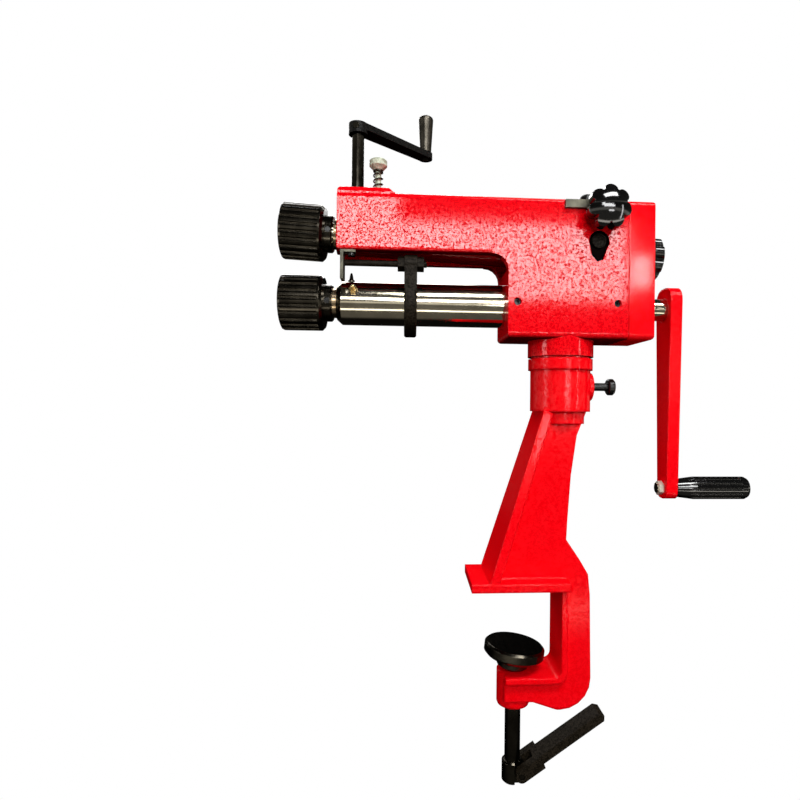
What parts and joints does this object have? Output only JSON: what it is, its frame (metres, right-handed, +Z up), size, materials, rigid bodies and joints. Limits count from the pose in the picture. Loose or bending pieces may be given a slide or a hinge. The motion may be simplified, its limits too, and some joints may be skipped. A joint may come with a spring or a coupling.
{
  "type": "bead roller",
  "caption": "Hand-cranked bench-clamped bead roller with fluted rollers, a hollow red arm over a steel tube, a depth gauge and a swivel head.",
  "frame": {"origin": "middle of the bench jaw's underside, on the clamp screw axis", "axes": "+X along the shafts towards the crank, +Z up, -Y the operator's side"},
  "size_m": [0.4726, 0.1294, 0.6893],
  "materials": {
    "red_wrinkle": "glossy red hammer-textured paint",
    "red_smooth": "smooth glossy red paint",
    "black_oxide": "blackened machined steel",
    "polished_steel": "turned and polished steel",
    "zinc": "zinc plated steel",
    "black_paint": "satin black",
    "black_plastic": "moulded glossy black",
    "brass": "turned brass",
    "bronze": "plain bearing bronze"
  },
  "bodies": {
    "stand": {"clamp_stand": "red_smooth"},
    "swivel_lock": {"swivel_lock_bolt": "black_paint"},
    "clamp_carrier": {"clamp_ball": "polished_steel"},
    "clamp_foot": {"clamp_pad": "black_oxide"},
    "clamp_spindle": {"clamp_screw": "black_oxide"},
    "clamp_lever": {"clamp_handle": "black_oxide", "clamp_handle_pin": "polished_steel"},
    "head": {"head_casting": "red_wrinkle", "gear_cover": "red_wrinkle", "cover_screws": "zinc", "lower_tube": "polished_steel", "tube_set_screws": "black_paint", "front_grease_nipple": "brass", "top_grease_nipple": "black_oxide", "lower_front_bush": "bronze", "lower_rear_bush": "bronze", "pivot_pins": "black_oxide", "lock_bar": "polished_steel", "top_plug": "black_paint", "gauge_bracket": "polished_steel", "gauge_bracket_screw": "black_paint", "gauge_rod": "black_oxide"},
    "gauge": {"gauge_plate": "black_paint", "gauge_nuts": "black_oxide"},
    "crank": {"lower_shaft": "polished_steel", "lower_roller": "black_oxide", "lower_roller_screw": "black_paint", "lower_gear": "polished_steel", "lower_gear_key": "polished_steel", "crank_arm": "red_smooth", "crank_grub": "black_paint", "grip_spindle": "polished_steel", "grip_nut": "zinc"},
    "crank_handle": {"crank_grip": "black_plastic"},
    "rocker": {"rocker_housing": "red_wrinkle", "upper_front_bush": "bronze", "upper_rear_bush": "bronze"},
    "upper_drive": {"upper_gear": "polished_steel", "upper_gear_key": "polished_steel", "knob_ring": "polished_steel"},
    "shaft_knob": {"rear_knob": "black_plastic"},
    "upper_spindle": {"upper_shaft": "polished_steel", "upper_roller": "black_oxide", "upper_roller_screw": "black_paint"},
    "thrust": {"thrust_pad": "polished_steel"},
    "adjuster": {"adjust_screw": "black_oxide", "adjust_arm": "black_paint", "adjust_arm_pin": "zinc", "adjust_grip_pin": "polished_steel"},
    "adjuster_handle": {"adjust_grip": "black_plastic"},
    "lifter": {"lift_bolt": "zinc", "lift_spring": "black_oxide"},
    "lock_knob": {"front_knob": "black_plastic", "front_knob_stud": "polished_steel"}
  },
  "joints": [
    {"name": "head_swivel", "type": "hinge", "parent": "stand", "child": "head", "pos_m": [0.045, 0, 0.2], "axis": [0, 0, 1], "continuous": true},
    {"name": "swivel_lock_turn", "type": "hinge", "parent": "stand", "child": "swivel_lock", "pos_m": [0.09, 0, 0.196], "axis": [1, 0, 0], "range_deg": [0, 720]},
    {"name": "clamp_travel", "type": "slide", "parent": "stand", "child": "clamp_carrier", "axis": [0, 0, 1], "range_m": [0, 0.028]},
    {"name": "clamp_turn", "type": "hinge", "parent": "clamp_carrier", "child": "clamp_spindle", "pos_m": [0, 0, -0.1], "axis": [0, 0, 1], "range_deg": [0, 5040]},
    {"name": "clamp_pad_tilt", "type": "hinge", "parent": "clamp_carrier", "child": "clamp_foot", "pos_m": [0, 0, -0.075], "axis": [0, 1, 0], "range_deg": [-11, 1]},
    {"name": "clamp_handle_fold", "type": "hinge", "parent": "clamp_spindle", "child": "clamp_lever", "pos_m": [0.0075, 0, -0.187], "axis": [0, 1, 0], "range_deg": [-1, 120]},
    {"name": "crank_turn", "type": "hinge", "parent": "head", "child": "crank", "pos_m": [0.1, 0, 0.275], "axis": [1, 0, 0], "continuous": true},
    {"name": "crank_grip_spin", "type": "hinge", "parent": "crank", "child": "crank_handle", "pos_m": [0.2, 0, 0.094], "axis": [1, 0, 0], "continuous": true},
    {"name": "gauge_slide", "type": "slide", "parent": "head", "child": "gauge", "axis": [1, 0, 0], "range_m": [-0.035, 0.002]},
    {"name": "rocker_tilt", "type": "hinge", "parent": "head", "child": "rocker", "pos_m": [0.074, 0, 0.3355], "axis": [0, -1, 0], "range_deg": [0, 2.8]},
    {"name": "upper_turn", "type": "hinge", "parent": "rocker", "child": "upper_drive", "pos_m": [0.07373, 0, 0.33001], "axis": [0.9988, 0, -0.0488], "continuous": true},
    {"name": "shaft_shift", "type": "slide", "parent": "upper_drive", "child": "upper_spindle", "axis": [0.9988, 0, -0.0488], "range_m": [-0.0015, 0.001]},
    {"name": "rear_knob_turn", "type": "hinge", "parent": "upper_drive", "child": "shaft_knob", "pos_m": [0.07373, 0, 0.33001], "axis": [0.9988, 0, -0.0488], "range_deg": [-240.5, 360.5]},
    {"name": "thrust_travel", "type": "slide", "parent": "head", "child": "thrust", "axis": [0, 0, -1], "range_m": [0, 0.01138]},
    {"name": "adjust_turn", "type": "hinge", "parent": "thrust", "child": "adjuster", "pos_m": [-0.1591, 0, 0.4], "axis": [0, 0, -1], "range_deg": [0, 2339.1]},
    {"name": "adjust_grip_spin", "type": "hinge", "parent": "adjuster", "child": "adjuster_handle", "pos_m": [-0.09125, 0.06003, 0.47], "axis": [0, 0, 1], "continuous": true},
    {"name": "lift_travel", "type": "slide", "parent": "head", "child": "lifter", "axis": [0, 0, -1], "range_m": [0, 0.01041], "deforming": ["lift_spring"]},
    {"name": "lock_knob_turn", "type": "hinge", "parent": "head", "child": "lock_knob", "pos_m": [0.0764, -0.045, 0.361], "axis": [0, 1, 0], "range_deg": [-720, 0]}
  ],
  "couplings": [
    {"joint": "clamp_travel", "follows": "clamp_turn", "m_per_rad": 0.00031831},
    {"joint": "upper_turn", "follows": "crank_turn", "ratio": -1},
    {"joint": "rear_knob_turn", "follows": "shaft_shift", "rad_per_m": -4188.8},
    {"joint": "thrust_travel", "follows": "adjust_turn", "m_per_rad": 0.00027852},
    {"joint": "rocker_tilt", "follows": "adjust_turn", "ratio": 0.0011968},
    {"joint": "lift_travel", "follows": "adjust_turn", "m_per_rad": 0.00025462}
  ]
}
